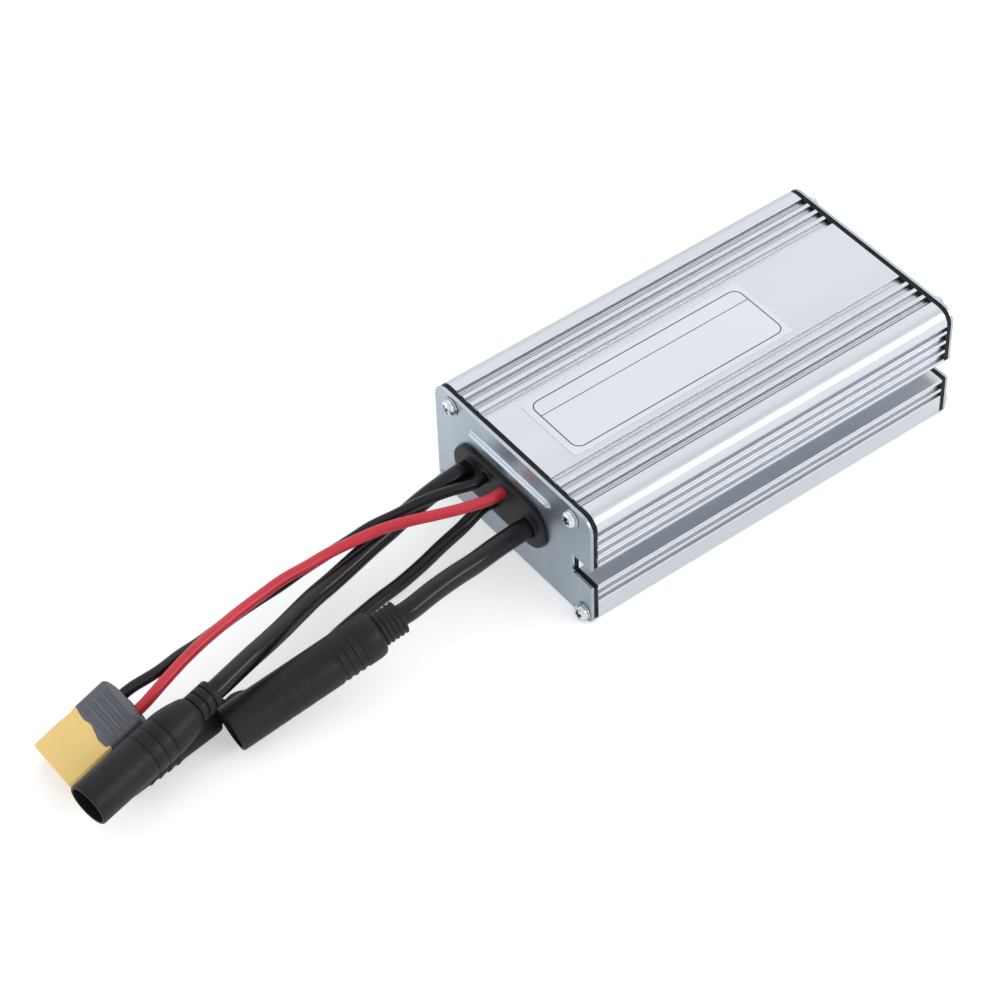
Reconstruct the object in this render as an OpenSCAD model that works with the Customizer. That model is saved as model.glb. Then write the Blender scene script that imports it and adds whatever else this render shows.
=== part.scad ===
// Electronic speed controller for a small brushless motor.
// A ribbed aluminium extrusion is closed by two plates on rubber gaskets.
// Inside, a circuit board carries the power stage, which is clamped to a bar on the left wall.
// Five leads leave through one rubber grommet and end in four connectors.
// Frame: origin on the floor under the middle of the housing, +X to the blank end, +Z up.

/* [Housing] */
// Outer width of the housing
housing_w = 70; // [66:1:90]
// Outer height of the housing
housing_h = 40; // [40:1:50]
// Length of the extrusion between the gaskets
housing_l = 126; // [124:1:160]
// Thickness of the side walls and the floor
wall_t = 3; // [2.8:0.1:4]
// Thickness of the roof, grooves included
roof_t = 3.4; // [3.2:0.1:4.5]
// Radius of the two upper edges
upper_r = 4.5; // [3:0.5:6]
// Radius of the two lower edges
lower_r = 1.5; // [1:0.5:4]

/* [Ribs] */
// Depth of all grooves
groove_d = 1.6; // [0.8:0.1:1.8]
// Half width of the plain panel on the roof
panel_half_w = 14.4; // [13.4:0.2:15]
// Distance from the middle to the first roof rib
roof_rib_y = 17.2; // [16:0.2:18]
// Spacing of the roof ribs
roof_rib_pitch = 3.5; // [3:0.1:3.6]
// Width of a roof rib
roof_rib_w = 1.3; // [0.8:0.1:2]
// Number of roof ribs on each side of the panel
roof_ribs = 3; // [2:1:3]
// Distance from the middle to the roof's shoulder
shoulder_y = 28; // [27.5:0.1:29]
// Spacing of the side ribs
side_rib_pitch = 3.7; // [3.2:0.1:3.8]
// Width of a side rib
side_rib_w = 1.1; // [0.8:0.1:1.6]
// Number of side ribs above the channel
side_ribs = 3; // [2:1:3]
// Width of the narrow groove at each end of the side ribs
edge_groove_w = 1.7; // [1:0.1:2]

/* [Mounting channel] */
// Height of the channel's floor
channel_z = 14.2; // [13.5:0.1:15]
// Opening height of the channel
channel_h = 7.2; // [6:0.1:8]
// Depth of the channel
channel_d = 8.5; // [6:0.5:9]
// Wall around the channel
channel_wall_t = 2; // [1.5:0.1:2.5]

/* [End plates] */
// Thickness of an end plate
plate_t = 0.9; // [0.8:0.1:2]
// Thickness of a gasket
gasket_t = 1.5; // [1:0.1:2.5]
// Length of the stiffening bead
bead_l = 36; // [20:1:44]
// Radius of the bead's rod
bead_r = 1.6; // [1.2:0.1:2]
// Height of the bead above the plate
bead_rise = 1.2; // [0.4:0.1:1.3]
// Height of the bead's middle
bead_z = 32.3; // [32:0.1:34]
// Sideways place of the bead's middle
bead_y = 1; // [0:0.5:2]

/* [Screws] */
// Radius of the thread of all screws
thread_r = 1.5; // [1.2:0.1:1.6]
// Radius of a pan head
head_r = 2.75; // [2.4:0.05:3]
// Height of a pan head
head_h = 2.4; // [1.5:0.1:2.8]
// Length of an end plate screw under its head
plate_screw_l = 10; // [8:1:16]
// Radial clearance of a screw in a plate
screw_gap = 0.2; // [0.1:0.05:0.4]
// Distance of the upper plate screws from the side
upper_screw_in = 8; // [7:0.2:9]
// Depth of the upper plate screws below the roof
upper_screw_drop = 3.7; // [3.4:0.1:4.2]
// Distance of the lower plate screws from the side
lower_screw_in = 3.2; // [3:0.1:4]
// Height of the lower plate screws
lower_screw_z = 2.8; // [2.8:0.1:3.8]
// Radius of a screw boss
boss_r = 3.1; // [2.8:0.1:3.4]

/* [Grommet] */
// Width of the grommet's flanges
grommet_w = 41; // [40:1:46]
// Height of the grommet's flanges
grommet_h = 16; // [15.6:0.2:18]
// Thickness of the outer flange
grommet_t = 1.6; // [1.2:0.1:3.5]
// Thickness of the inner flange
grommet_back_t = 1.8; // [1:0.1:2.5]
// Depth of the step between a flange and the grommet's waist
grommet_step = 1.4; // [1:0.1:1.5]
// Sideways place of the grommet
grommet_y = 4.7; // [4:0.1:5]
// Height of the grommet's middle
grommet_z = 19; // [19:0.1:20]

/* [Cables] */
// Radius of the red and the black power wire
power_r = 1.6; // [1.2:0.1:1.8]
// Radius of the harness cable
harness_r = 2.9; // [2.4:0.1:3.1]
// Radius of the motor cable
motor_r = 3.1; // [2.4:0.1:3.3]
// Radius of the sensor cable
sensor_r = 2; // [1.4:0.1:2.1]
// Length of the straight sheath in front of the grommet
tail_out = 1.3; // [0.5:0.1:3]
// Length of the sheath inside the housing
tail_l = 12; // [8:1:20]
// Radius of a conductor inside the housing
conductor_r = 0.6; // [0.4:0.05:0.8]
// Radial clearance of a cable in the grommet
cable_gap = 0.05; // [0.02:0.01:0.1]

/* [Round connectors] */
// Radius of the motor connector
motor_plug_r = 6.7; // [6:0.1:6.7]
// Length of the motor connector
motor_plug_l = 54.9; // [50:0.1:56]
// Radius of the harness connector
harness_plug_r = 6.4; // [5.8:0.1:6.4]
// Length of the harness connector
harness_plug_l = 45.6; // [42:0.1:50]
// Radius of the sensor connector
sensor_plug_r = 4.6; // [4.2:0.1:4.6]
// Length of the sensor connector
sensor_plug_l = 36; // [30:1:38]
// Wall of a connector's sleeve
sleeve_t = 0.9; // [0.7:0.1:1.2]
// Depth of the space in front of the pins
mouth_d = 9; // [8:0.5:10]
// Length of the ribbed neck of the motor and harness connectors
neck_l = 7.6; // [7:0.2:10]
// Length of the sensor connector's neck
sensor_neck_l = 5; // [4:0.5:6]
// Length of the free part of a pin
pin_l = 6; // [4:0.5:7]
// Radius of a pin
pin_r = 0.5; // [0.4:0.05:0.6]

/* [Power plug] */
// Width of the power plug's housing
plug_w = 18.6; // [15:0.2:20]
// Thickness of the power plug's housing
plug_t = 8.2; // [7.6:0.1:9]
// Length of the housing in front of the boot
plug_l = 15; // [13:0.5:16]
// Length of the boot
boot_l = 11; // [9:0.5:13]
// Half spacing of the two contacts
contact_y = 3.6; // [3.4:0.1:3.8]
// Radius of a contact pin
contact_r = 1.75; // [1.5:0.05:1.9]
// Depth of the shroud around the contact pins
shroud_d = 9; // [7:0.5:10]
// Wall of the plug and of its boot
plug_wall_t = 0.9; // [0.7:0.1:1.1]

/* [Electronics] */
// Height of the circuit board's underside
board_z = 8; // [7.6:0.1:8.6]
// Thickness of the circuit board
board_t = 1.6; // [1:0.1:2]
// Distance of the circuit board from the ends of the extrusion
board_inset = 11; // [9:1:12]
// Clearance of the board between its rails
board_gap = 0.15; // [0.05:0.05:0.3]
// Depth of the board rails on the side walls
rail_d = 1.5; // [1:0.1:2]
// Thickness of a board rail
rail_t = 1; // [0.8:0.1:1.2]
// Number of power transistors, two for each phase
transistors = 6; // [2:2:6]
// Spacing of the power transistors
transistor_pitch = 15; // [13:0.5:15.5]
// Thickness of the heat bar
bar_t = 4; // [3:0.5:5]
// Clearance between the heat bar and the roof
bar_roof_gap = 4; // [3:0.5:6]
// Clearance between the heat bar and the board
bar_board_gap = 3; // [2:0.5:4]
// Distance from the heat bar's top to the foot of a transistor's body
transistor_drop = 18; // [17:0.5:18]
// Thickness of the insulating strip
strip_t = 0.3; // [0.2:0.1:0.5]
// Radius of a bulk capacitor
bulk_r = 8; // [6:0.5:8]
// Length of a bulk capacitor
bulk_l = 25; // [20:1:28]

/* [Label] */
// Length of the label
label_l = 78; // [60:1:84]
// Width of the label
label_w = 25; // [20:1:26]
// Thickness of the label
label_t = 0.15; // [0.1:0.05:0.3]
// Distance from the extrusion's cable end to the label
label_inset = 10; // [4:1:20]

/* [Hidden] */
$fn = 48;
tiny = 0.01;

extrusion_x = -housing_l / 2;
face_x = extrusion_x - gasket_t - plate_t;
grommet_x = face_x - grommet_t;
mouth_x = grommet_x - tail_out;
channel_top = channel_z + channel_h;
upper_screw_y = housing_w / 2 - upper_screw_in;
upper_screw_z = housing_h - upper_screw_drop;
lower_screw_y = housing_w / 2 - lower_screw_in;
bore_r = thread_r + screw_gap / 2;
plate_hole_r = thread_r + screw_gap;
screw_points = [
    [upper_screw_y, upper_screw_z], [-upper_screw_y, upper_screw_z],
    [lower_screw_y, lower_screw_z], [-lower_screw_y, lower_screw_z]
];

board_top = board_z + board_t;
board_half_w = housing_w / 2 - wall_t - board_gap;
board_l = housing_l - 2 * board_inset;
bar_face_y = housing_w / 2 - wall_t - bar_t;
bar_z = board_top + bar_board_gap;
bar_h = housing_h - roof_t - bar_roof_gap - bar_z;
transistor_y = bar_face_y - strip_t;
transistor_z = bar_z + bar_h - transistor_drop;
transistor_w = 10;
transistor_d = 4.5;
transistor_h = 9.2;
tab_h = 6.3;
tab_t = 1.3;
tab_hole_z = transistor_z + transistor_h + tab_h / 2;
leg_w = 0.8;
leg_t = 0.5;
leg_pitch = 2.54;
leg_back = 1.6;
tab_hole_r = 1.9;
bush_r = 3;
bush_t = 0.8;
bar_spare = 6;
transistor_span = (transistors - 1) * transistor_pitch;
bar_l = transistor_span + transistor_w + bar_spare;
bar_screw_z = bar_z + bar_h / 4;
bar_screw_xs = [for (k = [0 : 2 : transistors - 2]) -transistor_span / 2 + (k + 0.5) * transistor_pitch];

// The bulk capacitors lie side by side, with their legs towards the cable end
bulk_inset = 14;
bulk_gap = 0.3;
bulk_shift = 4;
bulk_leg_l = 3;
bulk_leg_r = 0.4;

// The small parts on the board
small_r = 4;
small_h = 12;
small_y = 18;
small_gap = 2;
small_first_x = bulk_inset - board_l / 2 + bulk_l + small_r + 2.5 * small_gap;
small_xs = [small_first_x, small_first_x + 2 * small_r + small_gap, board_l / 2 - 2 * small_r];
driver_w = 4;
driver_d = 5;
driver_h = 1.6;
driver_y = 14;
shunt_x = board_l / 2 - 40;
chip_x = board_l / 2 - 34;
dropper_x = board_l / 2 - 24;
regulator_x = board_l / 2 - 18;
choke_x = board_l / 2 - 8;
chip_y = -6;
chip_w = 7;
chip_h = 1.4;

// Where each cable leaves the grommet, across and up from its middle, and its radius
harness_exit = [13.3, 0.5, harness_r];
black_exit = [5.3, 3.8, power_r];
red_exit = [-2.7, 4.4, power_r];
sensor_exit = [1.6, -2.7, sensor_r];
motor_exit = [-13.9, -0.5, motor_r];
exits = [harness_exit, black_exit, red_exit, sensor_exit, motor_exit];
conductor_counts = [4, 1, 1, 3, 5];

// The places outside the housing are given from the middle of the plate's foot, so that
// the cables and connectors follow the grommet when the housing grows
function outside(p) = p + [mouth_x, 0, 0];

// The round connectors: the point where the cable enters, the heading and the dip
harness_end = outside([-99.7, -4.2, 19]);
harness_yaw = 189.5;
harness_dip = 6.6;
motor_end = outside([-45, -12.6, 17.6]);
motor_yaw = 176.2;
motor_dip = 11;
sensor_end = outside([-93.9, -0.1, sensor_plug_r]);
sensor_yaw = 187.7;
sensor_dip = 0;

// The power plug lies with the lower edge of its mouth on the floor and its boot raised
plug_pitch = 22;
plug_point = outside([-141.2, 10.6, plug_t / 2 * cos(plug_pitch)]);
plug_heading = [cos(plug_pitch), 0, sin(plug_pitch)];
boot_end = plug_point + (plug_l + boot_l) * plug_heading;
red_end = boot_end - [0, contact_y, 0];
black_end = boot_end + [0, contact_y, 0];

// Straight stretches of cable at the grommet and at a connector
lead_out = 3.5;
lead_in = 4;

function exit_point(place) = [mouth_x, grommet_y + place[0], grommet_z + place[1]];
function unit(v) = v / norm(v);
function heading(yaw, dip) = [cos(dip) * cos(yaw), cos(dip) * sin(yaw), -sin(dip)];

// The wires leave the boot a little apart from its own heading
red_heading = unit([9.5, 1, 3.2]);
black_heading = unit([9.7, -0.3, 2.4]);

// A route from its exit through its middle points to a connector, straight at both ends
function route(place, middle, end, ahead) = concat(
    [exit_point(place), exit_point(place) - [lead_out, 0, 0]],
    [for (p = middle) outside(p)],
    [end - lead_in * ahead, end]
);

red_route = route(
    red_exit,
    [
        [-10.75, 4.25, 23], [-17.75, 7.75, 22], [-24.25, 11.5, 20.75], [-31.25, 14.75, 19.5], [-38.5, 17, 18],
        [-46, 18.5, 17], [-53.5, 19, 16.25], [-61.25, 19.25, 16], [-69, 18.5, 15.75], [-76.5, 17.25, 16],
        [-84, 15.5, 16.5], [-91.5, 13.5, 17], [-98.75, 11.25, 17.25], [-106.25, 8.75, 17]
    ],
    red_end,
    -red_heading
);
black_route = route(
    black_exit,
    [
        [-10.75, 12.25, 22.75], [-17.75, 15, 21], [-24.5, 17.25, 18.75], [-31.5, 19.5, 16.75], [-38.75, 20.75, 14.5],
        [-46, 21.5, 13], [-53.5, 21.75, 12], [-61, 21.25, 11.5], [-68.75, 20.75, 11.5], [-76.25, 19.75, 12],
        [-83.5, 18.25, 12.75], [-91, 16.5, 13.75], [-98.25, 15.25, 14.75], [-105.75, 13.75, 15.25]
    ],
    black_end,
    -black_heading
);
harness_route = route(
    harness_exit,
    [
        [-11.25, 18.25, 18], [-18.75, 18.5, 15.5], [-26, 18.25, 13], [-33.75, 17.5, 11.5], [-41.5, 16, 10.75],
        [-49, 14, 11], [-56.5, 11.75, 12], [-63.75, 8.75, 13.5], [-71.25, 5.25, 15.5], [-78.5, 2.25, 17.25],
        [-86, -0.5, 18.75]
    ],
    harness_end,
    heading(harness_yaw, harness_dip)
);
sensor_route = route(
    sensor_exit,
    [
        [-10.75, 5.5, 14], [-17.75, 5.75, 11], [-24.75, 5.75, 8], [-32, 6, 5.25], [-39.5, 6, 3.75],
        [-47, 5.25, 2.75], [-54.5, 4, 2.25], [-62, 1.75, 2.25], [-69.5, 0, 2.25], [-76.75, -1, 2.25],
        [-83.25, -1, 2.75]
    ],
    sensor_end,
    heading(sensor_yaw, sensor_dip)
);
motor_route = route(
    motor_exit,
    [
        [-11, -9.75, 18.5], [-18.5, -10.75, 18.75], [-26, -11.5, 19.25], [-33.5, -12.25, 19.25]
    ],
    motor_end,
    heading(motor_yaw, motor_dip)
);

function tangent(route, i) = unit(route[min(i + 1, len(route) - 1)] - route[max(i - 1, 0)]);
function ring(centre, along, r, sides) =
    let (across = unit(cross(along, [0, 0, 1])), up = cross(across, along))
    [for (k = [0 : sides - 1])
        centre + r * (cos(360 * k / sides) * across + sin(360 * k / sides) * up)];

// A closed tube through the points of a route
module tube(route, r, sides) {
    rings = len(route);
    points = [for (i = [0 : rings - 1]) each ring(route[i], tangent(route, i), r, sides)];
    sides_a = [for (i = [0 : rings - 2], k = [0 : sides - 1])
        [i * sides + k, i * sides + (k + 1) % sides, (i + 1) * sides + k]];
    sides_b = [for (i = [0 : rings - 2], k = [0 : sides - 1])
        [i * sides + (k + 1) % sides, (i + 1) * sides + (k + 1) % sides, (i + 1) * sides + k]];
    first_cap = [[for (k = [sides - 1 : -1 : 0]) k]];
    last_cap = [[for (k = [0 : sides - 1]) (rings - 1) * sides + k]];
    polyhedron(points, concat(sides_a, sides_b, first_cap, last_cap));
}

// Sets an outline drawn as [across, up] upright and extrudes it towards +X
module along_x(x, length) {
    translate([x, 0, 0])
        rotate([90, 0, 90])
            linear_extrude(length)
                children();
}

// Turns a piece drawn along +Z so that it leaves a point with a yaw and a dip
module leaving(point, yaw, dip) {
    translate(point)
        rotate([0, 90 + dip, yaw])
            children();
}

// Sets a piece drawn in the power plug's own frame in its place
module in_plug() {
    translate(plug_point)
        rotate([0, -plug_pitch, 0])
            children();
}

module box_at(low, size) {
    translate(low)
        cube(size);
}

module rod_x(point, length, r) {
    translate(point)
        rotate([0, 90, 0])
            cylinder(h = length, r = r);
}

module rod_y(point, length, r) {
    translate(point)
        rotate([-90, 0, 0])
            cylinder(h = length, r = r);
}

// ---- outlines of the housing, as [across, up] ----

module outer_outline() {
    translate([-housing_w / 2, lower_r])
        square([housing_w, housing_h - upper_r - lower_r]);
    translate([lower_r - housing_w / 2, 0])
        square([housing_w - 2 * lower_r, lower_r + 1]);
    translate([upper_r - housing_w / 2, housing_h - upper_r - 1])
        square([housing_w - 2 * upper_r, upper_r + 1]);
    for (side = [-1, 1]) {
        translate([side * (housing_w / 2 - lower_r), lower_r])
            circle(r = lower_r);
        translate([side * (housing_w / 2 - upper_r), housing_h - upper_r])
            circle(r = upper_r);
    }
}

module channel_notch() {
    translate([-housing_w / 2 - 1, channel_z])
        square([channel_d + 1, channel_h]);
}

module cavity_outline() {
    channel_wall_y = channel_d + channel_wall_t - housing_w / 2;
    difference() {
        translate([wall_t - housing_w / 2, wall_t])
            square([housing_w - 2 * wall_t, housing_h - wall_t - roof_t]);
        for (side = [0, 1], z = [board_z - board_gap - rail_t, board_top + board_gap]) {
            mirror([side, 0])
                translate([-housing_w / 2, z])
                    square([wall_t + rail_d, rail_t]);
        }
        translate([-housing_w / 2, channel_z - channel_wall_t])
            square([channel_wall_y + housing_w / 2, channel_h + 2 * channel_wall_t]);
        for (p = screw_points) {
            translate(p)
                circle(r = boss_r);
        }
    }
}

module roof_grooves() {
    difference() {
        translate([panel_half_w, housing_h - groove_d])
            square([shoulder_y - panel_half_w, groove_d + 1]);
        for (k = [0 : roof_ribs - 1]) {
            translate([roof_rib_y + k * roof_rib_pitch, housing_h - groove_d - 1])
                square([roof_rib_w, groove_d + 2]);
        }
    }
}

// One groove of the right wall, from one height to another
module side_groove(low, high) {
    translate([-housing_w / 2 - 1, low])
        square([groove_d + 1, high - low]);
}

module side_grooves() {
    for (k = [0 : side_ribs - 1]) {
        side_groove(channel_top + k * side_rib_pitch + side_rib_w,
            channel_top + (k + 1) * side_rib_pitch);
    }
    last_rib_top = channel_top + side_ribs * side_rib_pitch + side_rib_w;
    side_groove(last_rib_top, last_rib_top + edge_groove_w);
    side_groove(channel_z - side_rib_pitch, channel_z - side_rib_w);
    low_rib_z = channel_z - side_rib_pitch - side_rib_w;
    side_groove(low_rib_z - edge_groove_w, low_rib_z);
}

module extrusion_outline() {
    difference() {
        outer_outline();
        cavity_outline();
        channel_notch();
        for (side = [0, 1]) {
            mirror([side, 0]) {
                roof_grooves();
                side_grooves();
            }
        }
        for (p = screw_points) {
            translate(p)
                circle(r = bore_r);
        }
    }
}

// ---- housing ----

module housing_extrusion() {
    color("gainsboro")
        difference() {
            along_x(extrusion_x, housing_l)
                extrusion_outline();
            for (x = bar_screw_xs) {
                translate([x, housing_w / 2, bar_screw_z])
                    rotate([90, 0, 0]) {
                        bar_screw_shape(screw_gap / 2);
                        translate([0, 0, -1])
                            cylinder(h = 1 + tiny, r = 2 * thread_r + screw_gap / 2);
                    }
            }
        }
}

module gasket_outline() {
    difference() {
        outer_outline();
        cavity_outline();
        channel_notch();
        for (p = screw_points) {
            translate(p)
                circle(r = plate_hole_r);
        }
    }
}

module front_gasket() {
    color("dimgray")
        along_x(extrusion_x - gasket_t, gasket_t)
            gasket_outline();
}

module rear_gasket() {
    color("dimgray")
        along_x(extrusion_x + housing_l, gasket_t)
            gasket_outline();
}

module plate_outline() {
    difference() {
        outer_outline();
        channel_notch();
        for (p = screw_points) {
            translate(p)
                circle(r = plate_hole_r);
        }
    }
}

// A long hole or flange with round ends, drawn as [across, up]
module stadium(w, h) {
    square([w - h, h], center = true);
    for (side = [-1, 1]) {
        translate([side * (w - h) / 2, 0])
            circle(r = h / 2);
    }
}

module grommet_waist() {
    translate([grommet_y, grommet_z])
        stadium(grommet_w - 2 * grommet_step, grommet_h - 2 * grommet_step);
}

module front_plate() {
    color("lightsteelblue")
        union() {
            difference() {
                along_x(face_x, plate_t)
                    plate_outline();
                along_x(face_x - 1, plate_t + 2)
                    grommet_waist();
            }
            intersection() {
                rod_centre_x = face_x - bead_rise + bead_r;
                union() {
                    rod_y([rod_centre_x, bead_y - bead_l / 2, bead_z], bead_l, bead_r);
                    for (side = [-1, 1]) {
                        translate([rod_centre_x, bead_y + side * bead_l / 2, bead_z])
                            sphere(r = bead_r);
                    }
                }
                box_at([face_x - bead_rise, -housing_w / 2, 0],
                    [bead_rise + plate_t / 2, housing_w, housing_h]);
            }
        }
}

module rear_plate() {
    color("lightsteelblue")
        along_x(extrusion_x + housing_l + gasket_t, plate_t)
            plate_outline();
}

// A pan head screw along +Z with its head above zero and its thread below
module pan_screw(length) {
    difference() {
        union() {
            translate([0, 0, -length])
                cylinder(h = length + tiny, r = thread_r);
            rotate_extrude()
                polygon([
                    [0, 0], [head_r, 0], [head_r, 0.45 * head_h], [0.92 * head_r, 0.75 * head_h],
                    [0.65 * head_r, 0.95 * head_h], [0, head_h]
                ]);
        }
        for (turn = [0, 90]) {
            rotate([0, 0, turn])
                box_at([-0.62 * head_r, -0.4, 0.45 * head_h], [1.24 * head_r, 0.8, head_h]);
        }
    }
}

module front_screws() {
    color("silver")
        for (p = screw_points) {
            leaving([face_x, p[0], p[1]], 180, 0)
                pan_screw(plate_screw_l);
        }
}

module rear_screws() {
    color("silver")
        for (p = screw_points) {
            leaving([-face_x, p[0], p[1]], 0, 0)
                pan_screw(plate_screw_l);
        }
}

module cable_grommet() {
    color("black")
        difference() {
            union() {
                along_x(grommet_x, grommet_t)
                    translate([grommet_y, grommet_z])
                        stadium(grommet_w, grommet_h);
                along_x(grommet_x + tiny, grommet_t + plate_t)
                    grommet_waist();
                along_x(face_x + plate_t, grommet_back_t)
                    translate([grommet_y, grommet_z])
                        stadium(grommet_w, grommet_h);
            }
            for (e = exits) {
                rod_x(exit_point(e), tail_out + grommet_t + plate_t + grommet_back_t + 1, e[2] + cable_gap);
            }
        }
}

module rating_label() {
    color("whitesmoke")
        box_at([extrusion_x + label_inset, -label_w / 2, housing_h], [label_l, label_w, label_t]);
}

// ---- electronics ----

module circuit_board() {
    color("seagreen")
        box_at([-board_l / 2, -board_half_w, board_z], [board_l, 2 * board_half_w, board_t]);
}

// A countersunk screw along +Z from its flush head
module bar_screw_shape(gap) {
    cylinder(h = wall_t + bar_t, r = thread_r + gap);
    cylinder(h = thread_r, r1 = 2 * thread_r + gap, r2 = thread_r + gap);
}

module heat_bar() {
    color("lightgray")
        difference() {
            box_at([-bar_l / 2, bar_face_y, bar_z], [bar_l, bar_t, bar_h]);
            for (x = bar_screw_xs) {
                rod_y([x, bar_face_y - 1, bar_screw_z], bar_t + 2, bore_r);
            }
            for (k = [0 : transistors - 1]) {
                rod_y([k * transistor_pitch - transistor_span / 2, bar_face_y - 1, tab_hole_z],
                    bar_t + 2, bore_r);
            }
        }
}

module bar_screws() {
    color("silver")
        for (x = bar_screw_xs) {
            translate([x, housing_w / 2, bar_screw_z])
                rotate([90, 0, 0])
                    difference() {
                        bar_screw_shape(0);
                        for (turn = [0, 90]) {
                            rotate([0, 0, turn])
                                box_at([-thread_r, -0.4, -1], [2 * thread_r, 0.8, 2]);
                        }
                    }
        }
}

module insulating_strip() {
    color("lightgrey")
        difference() {
            box_at([-bar_l / 2, transistor_y, bar_z], [bar_l, strip_t, bar_h]);
            for (x = bar_screw_xs) {
                rod_y([x, transistor_y - 1, bar_screw_z], strip_t + 2, bore_r + screw_gap);
            }
            for (k = [0 : transistors - 1]) {
                rod_y([k * transistor_pitch - transistor_span / 2, transistor_y - 1, tab_hole_z],
                    strip_t + 2, bore_r + screw_gap);
            }
        }
}

// Draws its children once at each power transistor, at the middle of its back on the strip
module at_transistors() {
    for (k = [0 : transistors - 1]) {
        translate([k * transistor_pitch - transistor_span / 2, transistor_y, transistor_z])
            children();
    }
}

module power_transistors() {
    color("dimgray")
        at_transistors()
            difference() {
                union() {
                    box_at([-transistor_w / 2, -transistor_d, 0],
                        [transistor_w, transistor_d, transistor_h]);
                    box_at([-transistor_w / 2, -tab_t, transistor_h - 1],
                        [transistor_w, tab_t, tab_h + 1]);
                }
                rod_y([0, -tab_t - 1, tab_hole_z - transistor_z], tab_t + 2, tab_hole_r);
            }
}

module transistor_legs() {
    color("silver")
        at_transistors()
            for (k = [-1 : 1]) {
                box_at([k * leg_pitch - leg_w / 2, -tab_t - leg_back, board_top - transistor_z],
                    [leg_w, leg_t, transistor_z - board_top]);
            }
}

module insulating_bushes() {
    color("white")
        at_transistors()
            difference() {
                union() {
                    rod_y([0, -tab_t - bush_t, tab_hole_z - transistor_z], bush_t, bush_r);
                    rod_y([0, -tab_t - tiny, tab_hole_z - transistor_z],
                        tab_t + tiny, tab_hole_r - screw_gap / 4);
                }
                rod_y([0, -tab_t - bush_t - 1, tab_hole_z - transistor_z],
                    tab_t + bush_t + 2, thread_r + screw_gap / 2);
            }
}

module transistor_screws() {
    color("silver")
        at_transistors()
            translate([0, -tab_t - bush_t, tab_hole_z - transistor_z])
                rotate([90, 0, 0])
                    pan_screw(tab_t + bush_t + strip_t + bar_t - 0.5);
}

// Draws its children at the middle of one end of each bulk capacitor, which lies along +X
module at_bulk_capacitors() {
    for (side = [-1, 1]) {
        translate([bulk_inset - board_l / 2, side * (bulk_r + bulk_gap) - bulk_shift, board_top + bulk_r])
            children();
    }
}

module bulk_capacitors() {
    color("midnightblue")
        at_bulk_capacitors()
            rotate([0, 90, 0])
                rotate_extrude()
                    polygon([
                        [0, 0], [bulk_r - 0.6, 0], [bulk_r, 0.6], [bulk_r, 1.8],
                        [bulk_r - 0.6, 2.4], [bulk_r, 3], [bulk_r, bulk_l - 0.6],
                        [bulk_r - 0.6, bulk_l], [0, bulk_l]
                    ]);
}

module capacitor_legs() {
    leg_y = bulk_r * 0.47;
    color("silver")
        at_bulk_capacitors()
            for (side = [-1, 1]) {
                rod_x([-bulk_leg_l, side * leg_y, 0], bulk_leg_l, bulk_leg_r);
                translate([-bulk_leg_l, side * leg_y, -bulk_r])
                    cylinder(h = bulk_r + bulk_leg_r, r = bulk_leg_r);
            }
}

module small_capacitors() {
    color("midnightblue")
        for (x = small_xs) {
            translate([x, -small_y, board_top])
                cylinder(h = small_h, r = small_r);
        }
}

module current_shunts() {
    shunt_r = 0.75;
    bend_r = 5;
    color("peru")
        for (y = [8, 12]) {
            translate([shunt_x, y, board_top])
                rotate([90, 0, 0])
                    rotate_extrude(angle = 180)
                        translate([bend_r, 0])
                            circle(r = shunt_r);
        }
}

module microcontroller() {
    color("dimgray")
        box_at([chip_x - chip_w / 2, chip_y - chip_w / 2, board_top], [chip_w, chip_w, chip_h]);
}

module microcontroller_pins() {
    pin_count = 8;
    pin_pitch = 0.8;
    color("silver")
        translate([chip_x, chip_y, board_top])
            for (turn = [0 : 90 : 270], k = [0 : pin_count - 1]) {
                rotate([0, 0, turn])
                    box_at([chip_w / 2, (k - (pin_count - 1) / 2) * pin_pitch - 0.15, 0],
                        [1, 0.3, chip_h / 2]);
            }
}

module driver_chips() {
    color("dimgray")
        for (k = [-1 : 1]) {
            box_at([2 * k * transistor_pitch - driver_w / 2, driver_y, board_top],
                [driver_w, driver_d, driver_h]);
        }
}

module voltage_regulator() {
    color("dimgray")
        translate([regulator_x, -14, board_top]) {
            box_at([-transistor_w / 2, 0, 3], [transistor_w, transistor_d, transistor_h]);
            box_at([-transistor_w / 2, 0, 2 + transistor_h], [transistor_w, tab_t, tab_h + 1]);
            for (k = [-1 : 1]) {
                box_at([k * leg_pitch - leg_w / 2, 2, 0], [leg_w, leg_t, 3 + tiny]);
            }
        }
}

module dropper_resistor() {
    resistor_r = 2.5;
    resistor_l = 15;
    color("tan")
        translate([dropper_x, 2, board_top + resistor_r]) {
            rod_x([0, 0, 0], resistor_l, resistor_r);
            for (x = [-2, resistor_l + 1]) {
                translate([x + 0.5, 0, -resistor_r])
                    cylinder(h = resistor_r + 0.4, r = 0.4);
            }
            rod_x([-1.5, 0, 0], resistor_l + 3, 0.4);
        }
}

module choke() {
    core_r = 5;
    core_h = 7;
    color("saddlebrown")
        translate([choke_x, 3 + core_r, board_top])
            difference() {
                cylinder(h = core_h, r = core_r);
                translate([0, 0, 1])
                    cylinder(h = core_h, r = core_r / 2);
            }
}

// The sheathed ends of the five cables, from in front of the grommet into the housing
module cable_tails() {
    color("black")
        for (e = exits) {
            rod_x(exit_point(e), tail_out + grommet_t + plate_t + tail_l, e[2]);
        }
}

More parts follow.
